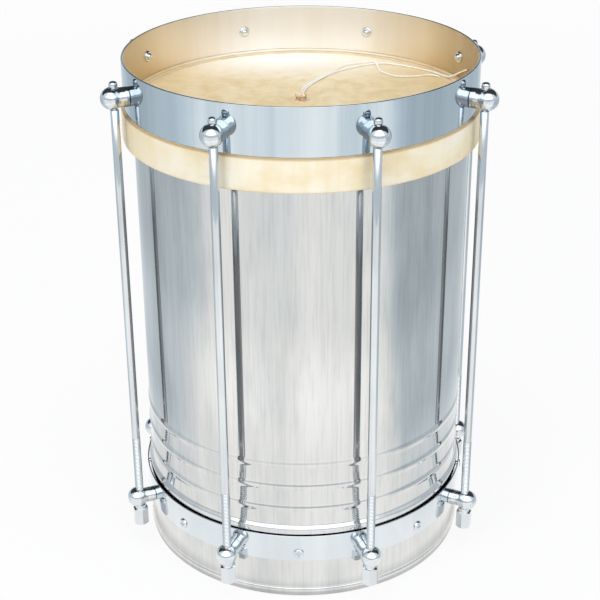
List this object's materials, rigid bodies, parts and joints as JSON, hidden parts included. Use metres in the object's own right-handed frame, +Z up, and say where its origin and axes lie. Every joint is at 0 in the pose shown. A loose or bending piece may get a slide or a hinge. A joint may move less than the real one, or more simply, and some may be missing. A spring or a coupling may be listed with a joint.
{
  "type": "cuica",
  "caption": "Tall steel friction drum: open-bottomed shell, tied skin with an inner bamboo stick, full-length rods between lugs, and sleeve nuts for tuning.",
  "frame": {"origin": "centre of the open bottom rim, on the surface that the drum stands on", "axes": "+Z up along the drum's axis, -Y to the front, where a band screw faces the viewer, +X to the viewer's right"},
  "size_m": [0.2856, 0.2856, 0.4013],
  "materials": {
    "shell_steel": "polished",
    "chrome": "polished",
    "plated_steel": "plated",
    "hide": "natural skin",
    "thread": "waxed",
    "cord": "twisted cotton",
    "hoop_wood": "bare",
    "bamboo": "smooth"
  },
  "bodies": {
    "drum": {"shell": "shell_steel", "lower_band": "chrome", "lower_lug_1": "chrome", "lower_lug_2": "chrome", "lower_lug_3": "chrome", "lower_lug_4": "chrome", "lower_lug_5": "chrome", "lower_lug_6": "chrome", "lower_lug_7": "chrome", "lower_lug_8": "chrome", "band_screw_1": "chrome", "band_screw_2": "chrome", "band_screw_3": "chrome", "band_screw_4": "chrome", "band_screw_5": "chrome", "band_screw_6": "chrome", "band_screw_7": "chrome", "band_screw_8": "chrome"},
    "hoop": {"counter_hoop": "chrome", "upper_lug_1": "chrome", "upper_lug_2": "chrome", "upper_lug_3": "chrome", "upper_lug_4": "chrome", "upper_lug_5": "chrome", "upper_lug_6": "chrome", "upper_lug_7": "chrome", "upper_lug_8": "chrome", "hoop_bolt_1": "chrome", "hoop_bolt_2": "chrome", "hoop_bolt_3": "chrome", "hoop_bolt_4": "chrome", "hoop_bolt_5": "chrome", "hoop_bolt_6": "chrome", "hoop_bolt_7": "chrome", "hoop_bolt_8": "chrome", "tension_rod_1": "plated_steel", "tension_rod_2": "plated_steel", "tension_rod_3": "plated_steel", "tension_rod_4": "plated_steel", "tension_rod_5": "plated_steel", "tension_rod_6": "plated_steel", "tension_rod_7": "plated_steel", "tension_rod_8": "plated_steel"},
    "head": {"flesh_hoop": "hoop_wood", "skin": "hide", "tie_binding": "thread", "tie_string_1": "cord", "tie_string_2": "cord"},
    "stick": {"stick": "bamboo"},
    "nut_1": {"tuning_nut_1": "plated_steel"},
    "nut_2": {"tuning_nut_2": "plated_steel"},
    "nut_3": {"tuning_nut_3": "plated_steel"},
    "nut_4": {"tuning_nut_4": "plated_steel"},
    "nut_5": {"tuning_nut_5": "plated_steel"},
    "nut_6": {"tuning_nut_6": "plated_steel"},
    "nut_7": {"tuning_nut_7": "plated_steel"},
    "nut_8": {"tuning_nut_8": "plated_steel"}
  },
  "joints": [
    {"name": "hoop_lift", "type": "slide", "parent": "drum", "child": "hoop", "axis": [0, 0, 1], "range_m": [0, 0.008]},
    {"name": "head_lift", "type": "slide", "parent": "drum", "child": "head", "axis": [0, 0, 1], "range_m": [0, 0.008]},
    {"name": "stick_swing", "type": "hinge", "parent": "head", "child": "stick", "pos_m": [0, 0, 0.3648], "axis": [1, 0, 0], "range_deg": [-4, 4]},
    {"name": "nut_1_spin", "type": "hinge", "parent": "drum", "child": "nut_1", "pos_m": [0.05503, -0.13285, 0.0348], "axis": [0, 0, 1], "range_deg": [-2272.72, 0]},
    {"name": "nut_2_spin", "type": "hinge", "parent": "drum", "child": "nut_2", "pos_m": [0.13285, -0.05503, 0.0348], "axis": [0, 0, 1], "range_deg": [-2272.72, 0]},
    {"name": "nut_3_spin", "type": "hinge", "parent": "drum", "child": "nut_3", "pos_m": [0.13285, 0.05503, 0.0348], "axis": [0, 0, 1], "range_deg": [-2272.72, 0]},
    {"name": "nut_4_spin", "type": "hinge", "parent": "drum", "child": "nut_4", "pos_m": [0.05503, 0.13285, 0.0348], "axis": [0, 0, 1], "range_deg": [-2272.72, 0]},
    {"name": "nut_5_spin", "type": "hinge", "parent": "drum", "child": "nut_5", "pos_m": [-0.05503, 0.13285, 0.0348], "axis": [0, 0, 1], "range_deg": [-2272.72, 0]},
    {"name": "nut_6_spin", "type": "hinge", "parent": "drum", "child": "nut_6", "pos_m": [-0.13285, 0.05503, 0.0348], "axis": [0, 0, 1], "range_deg": [-2272.72, 0]},
    {"name": "nut_7_spin", "type": "hinge", "parent": "drum", "child": "nut_7", "pos_m": [-0.13285, -0.05503, 0.0348], "axis": [0, 0, 1], "range_deg": [-2272.72, 0]},
    {"name": "nut_8_spin", "type": "hinge", "parent": "drum", "child": "nut_8", "pos_m": [-0.05503, -0.13285, 0.0348], "axis": [0, 0, 1], "range_deg": [-2272.72, 0]}
  ],
  "couplings": [
    {"joint": "head_lift", "follows": "hoop_lift", "ratio": 1},
    {"joint": "nut_1_spin", "follows": "hoop_lift", "rad_per_m": -4947.4},
    {"joint": "nut_2_spin", "follows": "hoop_lift", "rad_per_m": -4947.4},
    {"joint": "nut_3_spin", "follows": "hoop_lift", "rad_per_m": -4947.4},
    {"joint": "nut_4_spin", "follows": "hoop_lift", "rad_per_m": -4947.4},
    {"joint": "nut_5_spin", "follows": "hoop_lift", "rad_per_m": -4947.4},
    {"joint": "nut_6_spin", "follows": "hoop_lift", "rad_per_m": -4947.4},
    {"joint": "nut_7_spin", "follows": "hoop_lift", "rad_per_m": -4947.4},
    {"joint": "nut_8_spin", "follows": "hoop_lift", "rad_per_m": -4947.4}
  ]
}
